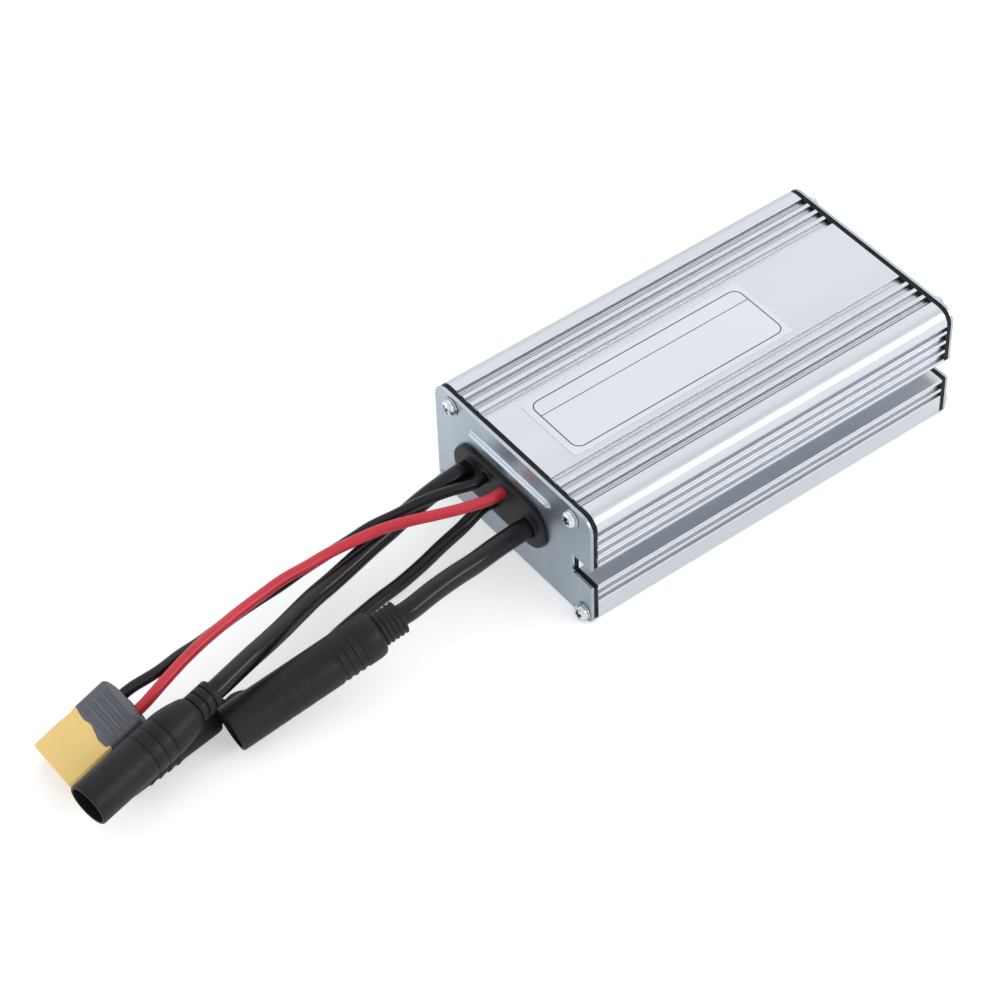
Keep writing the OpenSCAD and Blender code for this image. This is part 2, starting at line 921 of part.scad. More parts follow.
// One bare conductor: out of a tail, down through a bend and onto the board
module conductor(y, z, r) {
    bend_r = 3;
    tail_x = face_x + plate_t + tail_l;
    rod_x([tail_x, y, z], 1.5, r);
    translate([tail_x + 1.5, y, z - bend_r])
        rotate([90, 0, 0])
            rotate_extrude(angle = 90)
                translate([bend_r, 0])
                    circle(r = r);
    translate([tail_x + 1.5 + bend_r, y, board_top])
        cylinder(h = z - bend_r - board_top, r = r);
}

module conductor_leads() {
    color("goldenrod")
        for (i = [0 : len(exits) - 1]) {
            count = conductor_counts[i];
            step = count == 1 ? 0 : (2 * exits[i][2] - 2 * conductor_r) / (count - 1);
            for (k = [0 : count - 1]) {
                conductor(exit_point(exits[i])[1] + (k - (count - 1) / 2) * step,
                    exit_point(exits[i])[2],
                    count == 1 ? exits[i][2] - 0.4 : min(conductor_r, step / 2 - 0.05));
            }
        }
}

// ---- cables ----

module red_power_wire() {
    color("firebrick")
        tube(red_route, power_r, 8);
}

module black_power_wire() {
    color("black")
        tube(black_route, power_r, 8);
}

module harness_cable() {
    color("black")
        tube(harness_route, harness_r, 12);
}

module motor_cable() {
    color("black")
        tube(motor_route, motor_r, 12);
}

module sensor_cable() {
    color("black")
        tube(sensor_route, sensor_r, 10);
}

// ---- power plug, drawn from its mouth towards its boot ----

// The six sided outline of the plug, as [across, up], smaller all round by an inset
module plug_outline(inset) {
    w = plug_w / 2 - inset;
    t = plug_t / 2 - inset;
    cut = plug_t * 0.16;
    polygon([[-w, -t], [w - cut, -t], [w, cut - t], [w, t - cut], [w - cut, t], [-w, t]]);
}

module plug_housing() {
    color("burlywood")
        in_plug()
            difference() {
                union() {
                    along_x(0, plug_l)
                        plug_outline(0);
                    along_x(plug_l - tiny, boot_l / 2)
                        plug_outline(plug_wall_t);
                }
                along_x(-1, shroud_d + 1)
                    plug_outline(plug_wall_t);
                for (side = [-1, 1]) {
                    rod_x([0, side * contact_y, 0], plug_l + boot_l, contact_r + screw_gap / 4);
                }
            }
}

module plug_contacts() {
    color("gold")
        in_plug()
            for (side = [-1, 1]) {
                rod_x([1.5, side * contact_y, 0], plug_l + boot_l / 2, contact_r);
            }
}

module plug_boot() {
    boot_cut = 0.3;
    rib_gap = boot_l / 6;
    color("slategray")
        in_plug()
            difference() {
                union() {
                    along_x(plug_l, boot_l)
                        plug_outline(boot_cut);
                    for (k = [1 : 4]) {
                        along_x(plug_l + k * rib_gap, rib_gap / 2)
                            plug_outline(0);
                    }
                }
                along_x(plug_l - 1, boot_l / 2 + 1)
                    plug_outline(plug_wall_t - tiny);
                for (side = [-1, 1]) {
                    rod_x([plug_l, side * contact_y, 0], boot_l - 1.5, contact_r + screw_gap / 4);
                }
            }
}

// ---- round connectors, drawn from the cable's end at zero to the mouth ----

// A turned sleeve: ribbed neck, shoulder or taper, rings of finger grooves and open mouth
module connector_sleeve(r, length, neck, neck_r, taper, shoulder_r, grooves) {
    rib_pitch = neck / 4;
    groove_w = 0.8;
    difference() {
        rotate_extrude()
            polygon([
                [0, 0], [neck_r, 0], [neck_r, neck], [shoulder_r - 0.5, neck],
                [shoulder_r, neck + 0.5], [r, neck + taper], [r, length - 0.4],
                [r - 0.4, length], [0, length]
            ]);
        for (k = [0 : 2]) {
            ring_groove(neck_r, (k + 0.6) * rib_pitch, rib_pitch / 2, 0.6);
        }
        for (z = grooves) {
            ring_groove(r, z, groove_w, 0.4);
        }
        translate([0, 0, length - 2 * mouth_d])
            cylinder(h = 2 * mouth_d + 1, r = r - sleeve_t);
    }
}

// The ring that cuts a groove of a width and depth into a rod standing on +Z
module ring_groove(r, z, width, depth) {
    translate([0, 0, z])
        difference() {
            cylinder(h = width, r = r + 1);
            translate([0, 0, -1])
                cylinder(h = width + 2, r = r - depth);
        }
}

// The moulded insert that fills the back of a sleeve, drilled for its pins
module connector_insert(r, length, pins) {
    difference() {
        translate([0, 0, length - 2 * mouth_d])
            cylinder(h = mouth_d - pin_l / 2, r = r - sleeve_t - cable_gap);
        pins_in(r, length, pins, pin_r + cable_gap);
    }
}

// The pins of a connector on a circle, half of each in the insert
module pins_in(r, length, pins, radius) {
    for (k = [0 : pins - 1]) {
        rotate([0, 0, k * 360 / pins])
            translate([(r - sleeve_t) * 0.55, 0, length - 2 * mouth_d])
                cylinder(h = mouth_d + pin_l / 2, r = radius);
    }
}

module in_harness_plug() {
    leaving(harness_end, harness_yaw, harness_dip)
        children();
}

module in_motor_plug() {
    leaving(motor_end, motor_yaw, motor_dip)
        children();
}

module in_sensor_plug() {
    leaving(sensor_end, sensor_yaw, sensor_dip)
        children();
}

module harness_connector() {
    color("dimgray")
        in_harness_plug()
            connector_sleeve(harness_plug_r, harness_plug_l, neck_l, harness_r + 1.4,
                11, harness_plug_r - 1.2, [19.2, 22.8, 26.4]);
}

module harness_insert() {
    color("gray")
        in_harness_plug()
            connector_insert(harness_plug_r, harness_plug_l, 8);
}

module harness_pins() {
    color("gold")
        in_harness_plug()
            pins_in(harness_plug_r, harness_plug_l, 8, pin_r);
}

module motor_connector() {
    color("dimgray")
        in_motor_plug()
            connector_sleeve(motor_plug_r, motor_plug_l, neck_l, motor_r + 1.8,
                2, motor_plug_r - 0.8, [14.2, 16.7, 19.2, 21.7]);
}

module motor_insert() {
    color("gray")
        in_motor_plug()
            connector_insert(motor_plug_r, motor_plug_l, 9);
}

module motor_pins() {
    color("gold")
        in_motor_plug()
            pins_in(motor_plug_r, motor_plug_l, 9, pin_r);
}

module sensor_connector() {
    color("dimgray")
        in_sensor_plug()
            connector_sleeve(sensor_plug_r, sensor_plug_l, sensor_neck_l, sensor_r + 1,
                2, sensor_plug_r - 0.8, [9, 11, 13]);
}

module sensor_insert() {
    color("gray")
        in_sensor_plug()
            connector_insert(sensor_plug_r, sensor_plug_l, 3);
}

module sensor_pins() {
    color("gold")
        in_sensor_plug()
            pins_in(sensor_plug_r, sensor_plug_l, 3, pin_r);
}

housing_extrusion();
front_gasket();
rear_gasket();
front_plate();
rear_plate();
front_screws();
rear_screws();
cable_grommet();
rating_label();
circuit_board();
heat_bar();
bar_screws();
insulating_strip();
power_transistors();
transistor_legs();
transistor_screws();
insulating_bushes();
bulk_capacitors();
capacitor_legs();
small_capacitors();
current_shunts();
microcontroller();
microcontroller_pins();
driver_chips();
voltage_regulator();
dropper_resistor();
choke();
cable_tails();
conductor_leads();
red_power_wire();
black_power_wire();
harness_cable();
motor_cable();
sensor_cable();
plug_housing();
plug_contacts();
plug_boot();
harness_connector();
harness_insert();
harness_pins();
motor_connector();
motor_insert();
motor_pins();
sensor_connector();
sensor_insert();
sensor_pins();
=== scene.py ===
# Electronic speed controller: the finished look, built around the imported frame.
import math
import random

import bmesh
import bpy
from mathutils import Matrix, Vector, noise


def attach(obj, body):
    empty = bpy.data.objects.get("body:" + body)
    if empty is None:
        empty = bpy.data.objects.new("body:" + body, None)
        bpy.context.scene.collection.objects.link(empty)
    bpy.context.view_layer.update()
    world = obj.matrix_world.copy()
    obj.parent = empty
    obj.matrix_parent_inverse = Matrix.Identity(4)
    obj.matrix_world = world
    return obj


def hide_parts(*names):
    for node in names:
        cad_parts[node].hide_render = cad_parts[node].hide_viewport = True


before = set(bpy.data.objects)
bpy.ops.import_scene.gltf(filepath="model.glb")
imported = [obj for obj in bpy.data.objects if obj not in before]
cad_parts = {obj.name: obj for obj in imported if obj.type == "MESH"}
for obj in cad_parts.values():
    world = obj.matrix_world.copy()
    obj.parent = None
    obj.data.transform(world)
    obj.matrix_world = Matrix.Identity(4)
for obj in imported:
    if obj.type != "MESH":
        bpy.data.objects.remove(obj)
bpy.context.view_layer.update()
MM = 0.001

# ---- Housing extrusion ----
# One length of aluminium pushed through a die and clear anodised. Its crests and grooves cool the
# power stage, and the deep channel on the right takes a mounting rail.
half_w, height, half_l = 35.0, 40.0, 63.0
groove = 1.6
panel, shoulder = 14.4, 28.0
roof_ribs = [(17.2, 18.5), (20.7, 22.0), (24.2, 25.5)]
channel_low, channel_high, channel_back = 14.2, 21.4, 26.5
side_grooves = [(7.7, 9.4), (10.5, 13.1), (22.5, 25.1), (26.2, 28.8), (29.9, 32.5), (33.6, 35.3)]
crest_r, root_r, foot_r, roof_r = 0.18, 0.3, 1.5, 4.5


def filleted(corners, steps=4):
    """The closed outline through corners (y, z, radius), each rounded by its radius."""
    line = []
    count = len(corners)
    for i, (y, z, r) in enumerate(corners):
        here = Vector((y, z))
        back = (Vector(corners[i - 1][:2]) - here).normalized()
        ahead = (Vector(corners[(i + 1) % count][:2]) - here).normalized()
        angle = back.angle(ahead)
        if r <= 0 or angle > 3.1:
            line.append(here)
            continue
        reach = r / math.tan(angle / 2)
        centre = here + (back + ahead).normalized() * (r / math.sin(angle / 2))
        start, end = here + back * reach - centre, here + ahead * reach - centre
        turn = start.angle_signed(end)
        for k in range(steps + 1):
            a = -turn * k / steps
            line.append(centre + Vector((start.x * math.cos(a) - start.y * math.sin(a),
                                         start.x * math.sin(a) + start.y * math.cos(a))))
    return line


def side_corners(side, notch, grooves):
    """Half of the outline, from the middle of the floor round to the middle of the roof."""
    out = [(0, 0, 0), (half_w, 0, foot_r)]
    gaps = list(side_grooves) if grooves else []
    if notch:
        gaps.append((channel_low, channel_high))
    for low, high in sorted(gaps):
        deep = half_w - channel_back if (low, high) == (channel_low, channel_high) else groove
        out += [(half_w, low, crest_r), (half_w - deep, low, root_r),
                (half_w - deep, high, root_r), (half_w, high, crest_r)]
    out.append((half_w, height, roof_r))
    if grooves:
        low = height - groove
        out += [(shoulder, height, crest_r), (shoulder, low, root_r),
                (27.0, low, 0), (26.9, low + 0.5, 0), (26.6, low + 0.5, 0), (26.5, low, 0)]
        for near, far in reversed(roof_ribs):
            out += [(far, low, root_r), (far, height, crest_r),
                    (near, height, crest_r), (near, low, root_r)]
        out += [(panel, low, root_r), (panel, height, crest_r)]
    return [(side * y, z, r) for y, z, r in out]


def outline(notch=True, grooves=True):
    left = side_corners(1, False, grooves)
    right = side_corners(-1, notch, grooves)
    return filleted(left + [(0, height, 0)] + right[:0:-1])


def finish_mesh(name, bm, node=None, smooth=35, body="root"):
    """Makes a piece from a bmesh in millimetres and lets it stand for a CAD node."""
    bmesh.ops.recalc_face_normals(bm, faces=bm.faces)
    bmesh.ops.scale(bm, vec=(MM, MM, MM), verts=bm.verts)
    mesh = bpy.data.meshes.new(name)
    bm.to_mesh(mesh)
    bm.free()
    piece = bpy.data.objects.new(name, mesh)
    bpy.context.scene.collection.objects.link(piece)
    for face in mesh.polygons:
        face.use_smooth = True
    mesh.set_sharp_from_angle(angle=math.radians(smooth))
    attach(piece, body)
    if node:
        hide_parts(node)
    return piece


def loft(bm, rings):
    """Joins closed rings of points into a skin, with flat ends."""
    loops = [[bm.verts.new(p) for p in ring] for ring in rings]
    count = len(loops[0])
    for a, b in zip(loops[:-1], loops[1:]):
        for k in range(count):
            bm.faces.new((a[k], a[(k + 1) % count], b[(k + 1) % count], b[k]))
    bm.faces.new(loops[0])
    bm.faces.new(loops[-1][::-1])


def held(value):
    """The value, held between 0 and 1."""
    return min(1, max(0, value))


def upright(line, x, inset=0.0):
    """An outline's points at one place along the housing, drawn in by an inset."""
    if not inset:
        return [Vector((x, p[0], p[1])) for p in line]
    out = []
    for i, p in enumerate(line):
        along = Vector(line[(i + 1) % len(line)]) - Vector(line[i - 1])
        inward = Vector((-along.y, along.x)).normalized()
        out.append(Vector((x, p[0] + inward.x * inset, p[1] + inward.y * inset)))
    return out


shell = bmesh.new()
section = outline()
loft(shell, [upright(section, x) for x in (-half_l, -half_l / 3, half_l / 3, half_l)])
housing = finish_mesh("housing_shell", shell, "housing_extrusion", smooth=50)


def effect_group(name, inputs, outputs):
    """A shader node group with named sockets."""
    tree = bpy.data.node_groups.new(name, "ShaderNodeTree")
    for label, kind, value in inputs:
        socket = tree.interface.new_socket(label, in_out="INPUT", socket_type=kind)
        if value is not None:
            socket.default_value = value
    for label, kind in outputs:
        tree.interface.new_socket(label, in_out="OUTPUT", socket_type=kind)
    return tree, tree.nodes.new("NodeGroupInput"), tree.nodes.new("NodeGroupOutput")


def node(tree, kind, **settings):
    """Adds a node; settings name its properties, and inputs are given as a dict."""
    made = tree.nodes.new(kind)
    values = settings.pop("inputs", {})
    for key, value in settings.items():
        setattr(made, key, value)
    for key, value in values.items():
        made.inputs[key].default_value = value
    return made


# Grain: a fine speckle and a broad cloud, both stretched along the part by Stretch
grain, g_in, g_out = effect_group(
    "surface_grain",
    [("Fine scale", "NodeSocketFloat", 900.0), ("Cloud scale", "NodeSocketFloat", 25.0),
     ("Stretch", "NodeSocketVector", (1.0, 1.0, 1.0))],
    [("Fine", "NodeSocketFloat"), ("Cloud", "NodeSocketFloat")])
place = node(grain, "ShaderNodeTexCoord")
stretch = node(grain, "ShaderNodeVectorMath", operation="MULTIPLY")
fine = node(grain, "ShaderNodeTexNoise", inputs={"Detail": 4.0, "Roughness": 0.65})
cloud = node(grain, "ShaderNodeTexNoise", inputs={"Detail": 3.0, "Roughness": 0.5})
link = grain.links.new
link(place.outputs["Object"], stretch.inputs[0])
link(g_in.outputs["Stretch"], stretch.inputs[1])
for tex, scale in ((fine, "Fine scale"), (cloud, "Cloud scale")):
    link(stretch.outputs["Vector"], tex.inputs["Vector"])
    link(g_in.outputs[scale], tex.inputs["Scale"])
link(fine.outputs["Fac"], g_out.inputs["Fine"])
link(cloud.outputs["Fac"], g_out.inputs["Cloud"])

# Edge wear: bright where the surface turns sharply outwards
wear, w_in, w_out = effect_group(
    "edge_wear",
    [("Width", "NodeSocketFloat", 0.6), ("Break up", "NodeSocketFloat", 1200.0)],
    [("Wear", "NodeSocketFloat")])
edges = node(wear, "ShaderNodeNewGeometry")
ramp = node(wear, "ShaderNodeMapRange", inputs={"From Min": 0.52, "From Max": 0.62})
breakup = node(wear, "ShaderNodeTexNoise", inputs={"Detail": 2.0})
times = node(wear, "ShaderNodeMath", operation="MULTIPLY")
wide = node(wear, "ShaderNodeMath", operation="MULTIPLY")
spot = node(wear, "ShaderNodeTexCoord")
link = wear.links.new
link(edges.outputs["Pointiness"], ramp.inputs["Value"])
link(spot.outputs["Object"], breakup.inputs["Vector"])
link(w_in.outputs["Break up"], breakup.inputs["Scale"])
link(ramp.outputs["Result"], times.inputs[0])
link(breakup.outputs["Fac"], times.inputs[1])
link(times.outputs["Value"], wide.inputs[0])
link(w_in.outputs["Width"], wide.inputs[1])
link(wide.outputs["Value"], w_out.inputs["Wear"])


# Painted shade in corners and creases: ambient occlusion darkens the colour where little light reaches
corner, c_in, c_out = effect_group(
    "corner_shade",
    [("Size", "NodeSocketFloat", 0.001), ("Amount", "NodeSocketFloat", 0.5)],
    [("Shade", "NodeSocketFloat")])
hollow = node(corner, "ShaderNodeAmbientOcclusion", samples=8)
shaded = node(corner, "ShaderNodeMapRange", inputs={
    "From Min": 0.35, "From Max": 0.85, "To Min": 1.0, "To Max": 0.0})
amount = node(corner, "ShaderNodeMath", operation="MULTIPLY")
link = corner.links.new
link(c_in.outputs["Size"], hollow.inputs["Distance"])
link(hollow.outputs["AO"], shaded.inputs["Value"])
link(shaded.outputs["Result"], amount.inputs[0])
link(c_in.outputs["Amount"], amount.inputs[1])
link(amount.outputs["Value"], c_out.inputs["Shade"])


def finish(name, dark, light, rough=(0.4, 0.5), metal=0.0, fine=900.0, cloud=25.0,
           stretch=(1, 1, 1), bump=0.1, bump_depth=0.00002, worn=0.0, worn_color=None,
           painted_shade=0.0, painted_shade_size=0.001, **sockets):
    """A grained finish: colour drifts with the cloud, roughness and bump follow the fine grain."""
    material = bpy.data.materials.new(name)
    material.use_nodes = True
    tree = material.node_tree
    shader = tree.nodes["Principled BSDF"]
    shader.inputs["Metallic"].default_value = metal
    for key, value in sockets.items():
        shader.inputs[key.replace("_", " ")].default_value = value
    effect = node(tree, "ShaderNodeGroup", node_tree=grain,
                  inputs={"Fine scale": fine, "Cloud scale": cloud, "Stretch": stretch})
    spread = node(tree, "ShaderNodeMapRange", inputs={"From Min": 0.35, "From Max": 0.65})
    color = node(tree, "ShaderNodeMix", data_type="RGBA", inputs={6: (*dark, 1), 7: (*light, 1)})
    rough_range = node(tree, "ShaderNodeMapRange", inputs={
        "From Min": 0.3, "From Max": 0.7, "To Min": rough[0], "To Max": rough[1]})
    relief = node(tree, "ShaderNodeBump", inputs={"Strength": bump, "Distance": bump_depth})
    link = tree.links.new
    link(effect.outputs["Cloud"], spread.inputs["Value"])
    link(spread.outputs["Result"], color.inputs[0])
    link(effect.outputs["Fine"], rough_range.inputs["Value"])
    link(rough_range.outputs["Result"], shader.inputs["Roughness"])
    link(effect.outputs["Fine"], relief.inputs["Height"])
    link(relief.outputs["Normal"], shader.inputs["Normal"])
    last = color.outputs[2]
    if worn:
        edge = node(tree, "ShaderNodeGroup", node_tree=wear, inputs={"Width": worn})
        over = node(tree, "ShaderNodeMix", data_type="RGBA", inputs={7: (*(worn_color or light), 1)})
        link(edge.outputs["Wear"], over.inputs[0])
        link(last, over.inputs[6])
        last = over.outputs[2]
    # Painted shade: the corner shade pulls the colour towards near black in corners and creases
    if painted_shade:
        deep = node(tree, "ShaderNodeGroup", node_tree=corner, inputs={"Size": painted_shade_size, "Amount": painted_shade})
        under = node(tree, "ShaderNodeMix", data_type="RGBA", inputs={7: (0.02, 0.022, 0.025, 1)})
        link(deep.outputs["Shade"], under.inputs[0])
        link(last, under.inputs[6])
        last = under.outputs[2]
    link(last, shader.inputs["Base Color"])
    return material


def wears(piece, material):
    """Gives a piece its finish."""
    if piece.data.materials:
        piece.data.materials[0] = material
    else:
        piece.data.materials.append(material)


# The anodised finish darkens its grooves and corners with painted shade.
anodised = finish("anodised_aluminium", (0.68, 0.70, 0.735), (0.74, 0.76, 0.795), rough=(0.30, 0.42),
                  metal=1.0, fine=1400, cloud=30, stretch=(0.05, 1, 1), bump=0.15,
                  bump_depth=0.000005, worn=0.3, worn_color=(0.92, 0.93, 0.97),
                  painted_shade=0.35, painted_shade_size=0.0016)
wears(housing, anodised)

# ---- Electronics inside ----
# A glass fibre board with its parts, and the power stage screwed to a bar on the left wall. The
# closed housing hides all of it, so these stay as the frame gives them, each in its own finish.
board_green = finish("solder_mask_green", (0.008, 0.09, 0.03), (0.012, 0.13, 0.05), (0.25, 0.35))
mill_bar = finish("milled_bar", (0.6, 0.6, 0.62), (0.72, 0.72, 0.74), (0.3, 0.45), metal=1.0,
                  stretch=(0.05, 1, 1))
# The screw heads' zinc darkens in the cross recess and where the head meets the plate, as painted shade.
bright_zinc = finish("bright_zinc_plate", (0.72, 0.77, 0.80), (0.84, 0.88, 0.91), (0.14, 0.24),
                     metal=1.0, fine=2500, cloud=120, bump=0.15, bump_depth=0.00001,
                     painted_shade=0.95, painted_shade_size=0.0012)
sunk_zinc = finish("sunk_zinc_plate", (0.60, 0.64, 0.67), (0.72, 0.76, 0.79), (0.25, 0.36),
                   metal=1.0, fine=2500, cloud=120, bump=0.15, bump_depth=0.00001)
pale_film = finish("insulating_film", (0.55, 0.55, 0.54), (0.68, 0.68, 0.66), (0.5, 0.6))
resin = finish("moulding_resin", (0.015, 0.015, 0.016), (0.03, 0.03, 0.03), (0.5, 0.65), fine=3000)
tin = finish("tinned_copper", (0.6, 0.6, 0.6), (0.72, 0.71, 0.7), (0.25, 0.4), metal=1.0)
sleeve_blue = finish("shrunk_sleeve", (0.01, 0.015, 0.05), (0.015, 0.02, 0.08), (0.25, 0.35))
copper = finish("copper_wire", (0.6, 0.28, 0.15), (0.75, 0.4, 0.25), (0.25, 0.4), metal=1.0)
ceramic = finish("ceramic_coat", (0.4, 0.32, 0.22), (0.5, 0.42, 0.3), (0.5, 0.65))
inside = [
    ("circuit_board", board_green), ("heat_bar", mill_bar), ("bar_screws", sunk_zinc),
    ("insulating_strip", pale_film), ("power_transistors", resin), ("transistor_legs", tin),
    ("transistor_screws", sunk_zinc), ("insulating_bushes", pale_film),
    ("bulk_capacitors", sleeve_blue), ("capacitor_legs", tin), ("small_capacitors", sleeve_blue),
    ("current_shunts", copper), ("microcontroller", resin), ("microcontroller_pins", tin),
    ("driver_chips", resin), ("voltage_regulator", resin), ("dropper_resistor", ceramic),
    ("choke", copper), ("conductor_leads", copper)]
for name, material in inside:
    wears(bpy.data.objects[name], material)

# ---- Gaskets ----
# Black rubber sheet cut to the housing's outline. Clamped between plate and extrusion, it bulges
# a little, its cut edge waves, and it fills the ends of the grooves.
gasket_t = 1.5
rubber = finish("gasket_rubber", (0.005, 0.005, 0.006), (0.011, 0.011, 0.012), (0.5, 0.65),
                fine=1800, bump=0.2, Specular_IOR_Level=0.25)
plain = outline(grooves=False)


def spread_points(line, gap):
    """More points on the straight stretches of an outline."""
    out = []
    for a, b in zip(line, line[1:] + line[:1]):
        pieces = max(1, round((b - a).length / gap))
        out += [a.lerp(b, k / pieces) for k in range(pieces)]
    return out


def wavy(line, x, inset, seed):
    """An upright outline whose edge wanders in and out by a few tenths."""
    out = []
    for p, q in zip(upright(line, x), upright(line, x, 1.0)):
        wave = 0.5 + noise.noise(Vector((p.y * 0.32, p.z * 0.32, seed)))
        out.append(p.lerp(q, inset + 0.3 * held(wave)))
    return out


for side, name, cad in ((-1, "gasket_cable_end", "front_gasket"), (1, "gasket_blank_end", "rear_gasket")):
    gasket = bmesh.new()
    rings = [(0.02, 0.14), (0.3, 0.03), (0.75, 0.01), (1.2, 0.03), (1.48, 0.14)]
    cut = spread_points(plain, 0.8)
    loft(gasket, [wavy(cut, side * (half_l + x), inset, 5 * side) for x, inset in rings])
    wears(finish_mesh(name, gasket, cad, smooth=60), rubber)

# ---- End plates ----
# Zinc plated sheet, blanked and notched for the channel, held by four screws. The one at the
# cable end has a pressed bead above the grommet that stiffens it.
plate_t = 0.9
plate_in = half_l + gasket_t
bead_half, bead_y, bead_z, bead_rise, bead_w = 17.0, 1.0, 32.3, 1.2, 1.6
flat_area = 50        # faces larger than this many square millimetres are shaded flat
# The plate's zinc darkens round the screw heads, the bead and the grommet with painted shade.
zinc = finish("zinc_plated_sheet", (0.45, 0.52, 0.57), (0.54, 0.61, 0.67), (0.34, 0.44), metal=1.0,
              fine=1500, cloud=45, stretch=(1, 1, 0.4), bump=0.08, bump_depth=0.000006,
              painted_shade=0.85, painted_shade_size=0.0012)


def loose_object(bm):
    """A helper object that never stays in the scene."""
    bmesh.ops.recalc_face_normals(bm, faces=bm.faces)
    mesh = bpy.data.meshes.new("helper")
    bm.to_mesh(mesh)
    bm.free()
    made = bpy.data.objects.new("helper", mesh)
    made.scale = (MM, MM, MM)
    bpy.context.scene.collection.objects.link(made)
    return made


def combined(piece, helper, operation):
    """Cuts the helper out of a piece, or joins it on, and keeps the result as plain mesh."""
    modifier = piece.modifiers.new("combine", "BOOLEAN")
    modifier.operation = operation
    modifier.solver = "EXACT"
    modifier.use_self = True
    modifier.object = helper
    bpy.context.view_layer.update()
    result = bpy.data.meshes.new_from_object(
        piece.evaluated_get(bpy.context.evaluated_depsgraph_get()))
    piece.modifiers.clear()
    old = piece.data
    piece.data = result
    result.name = piece.name
    bpy.data.meshes.remove(old)
    bpy.data.objects.remove(helper)
    result.set_sharp_from_angle(angle=math.radians(35))


def pressed_bead():
    """The bead as a closed solid whose foot lies inside the plate."""
    bead = bmesh.new()
    rows, steps, across = [], 80, 20
    foot = -(plate_in + plate_t / 2)
    for i in range(steps + 1):
        y = (2 * i / steps - 1) * (bead_half + bead_w)
        out = max(0, abs(y) - bead_half)
        reach = math.sqrt(max(0.0004, bead_w ** 2 - out ** 2))
        row = [bead.verts.new((foot, bead_y + y, bead_z - reach))]
        for k in range(across + 1):
            z = (k / across * 2 - 1) * reach
            d = min(1, math.hypot(out, z) / bead_w)
            rise = bead_rise * (0.5 + 0.5 * math.cos(math.pi * d ** 1.2)) - 0.015
            row.append(bead.verts.new((-(plate_in + plate_t + rise), bead_y + y, bead_z + z)))
        row.append(bead.verts.new((foot, bead_y + y, bead_z + reach)))
        rows.append(row)
    count = len(rows[0])
    for a, b in zip(rows[:-1], rows[1:]):
        for k in range(count):
            n = (k + 1) % count
            bead.faces.new((a[k], a[n], b[n], b[k]))
    bead.faces.new(rows[0])
    bead.faces.new(rows[-1][::-1])
    return loose_object(bead)


for side, name, cad in ((-1, "plate_cable_end", "front_plate"), (1, "plate_blank_end", "rear_plate")):
    plate = bmesh.new()
    rings = [(0, 0.03), (0.12, 0), (plate_t - 0.12, 0), (plate_t, 0.12)]
    loft(plate, [upright(plain, side * (plate_in + x), inset) for x, inset in rings])
    piece = finish_mesh(name, plate, cad, smooth=40)
    if side < 0:
        combined(piece, pressed_bead(), "UNION")
    for face in piece.data.polygons:
        face.use_smooth = face.area < flat_area * MM * MM
    wears(piece, zinc)

# ---- End plate screws ----
# M3 pan head screws of bright zinc plated steel with a cross recess, driven into the
# extrusion's screw bosses.
screw_at = [(27.0, 36.3), (-27.0, 36.3), (31.8, 2.8), (-31.8, 2.8)]
head_line = [(0, 2.4), (0.9, 2.37), (1.6, 2.26), (2.1, 2.02), (2.36, 1.66), (2.5, 1.2), (2.52, 0.7),
             (2.46, 0.56), (2.5, 0.48), (2.71, 0.45), (2.75, 0.36), (2.75, 0.08), (2.68, 0.0),
             (1.5, -0.05), (1.5, -8.0), (0, -8.6)]


def lathe(bm, line, matrix=None, steps=64, window=None):
    """Turns (radius, height) points about +Z and moves the result by a matrix.

    A point's third number is a dent that only reaches as far round as the window lets it."""
    loops = []
    for r, z, *dent in line:
        if r == 0:
            loops.append([bm.verts.new((0, 0, z))])
            continue
        loop = []
        for k in range(steps):
            a = math.tau * k / steps
            near = r - (dent[0] * window(a) if dent else 0)
            loop.append(bm.verts.new((near * math.cos(a), near * math.sin(a), z)))
        loops.append(loop)
    for a, b in zip(loops[:-1], loops[1:]):
        for k in range(steps):
            n = (k + 1) % steps
            if len(a) == 1:
                bm.faces.new((a[0], b[n], b[k]))
            elif len(b) == 1:
                bm.faces.new((a[k], a[n], b[0]))
            else:
                bm.faces.new((a[k], a[n], b[n], b[k]))
    if matrix is not None:
        bmesh.ops.transform(bm, matrix=matrix, verts=[v for loop in loops for v in loop])
    return loops


def facing_out(side, y, z):
    """Stands a piece drawn along +Z on an end plate at a place across and up."""
    return (Matrix.Translation((side * (plate_in + plate_t), y, z))
            @ Matrix.Rotation(math.radians(90 * side), 4, "Y"))


rand = random.Random(3)
for side, name, cad in ((-1, "screws_cable_end", "front_screws"), (1, "screws_blank_end", "rear_screws")):
    heads, cross = bmesh.new(), bmesh.new()
    for y, z in screw_at:
        stand = facing_out(side, y, z) @ Matrix.Rotation(rand.uniform(0, 3.1), 4, "Z")
        lathe(heads, head_line, stand)
        for turn in (0, 90):
            arm = [(-1.9, 3.0, 0.55), (1.9, 3.0, 0.55), (0.6, 0.8, 0.26), (-0.6, 0.8, 0.26)]
            spin = stand @ Matrix.Rotation(math.radians(turn), 4, "Z")
            loops = [[cross.verts.new(spin @ Vector((x, s * w, h))) for x, h, w in arm] for s in (-1, 1)]
            cross.faces.new(loops[0])
            cross.faces.new(loops[1][::-1])
            for k in range(4):
                cross.faces.new((loops[0][k], loops[0][(k + 1) % 4], loops[1][(k + 1) % 4], loops[1][k]))
    piece = finish_mesh(name, heads, cad)
    combined(piece, loose_object(cross), "DIFFERENCE")
    wears(piece, bright_zinc)

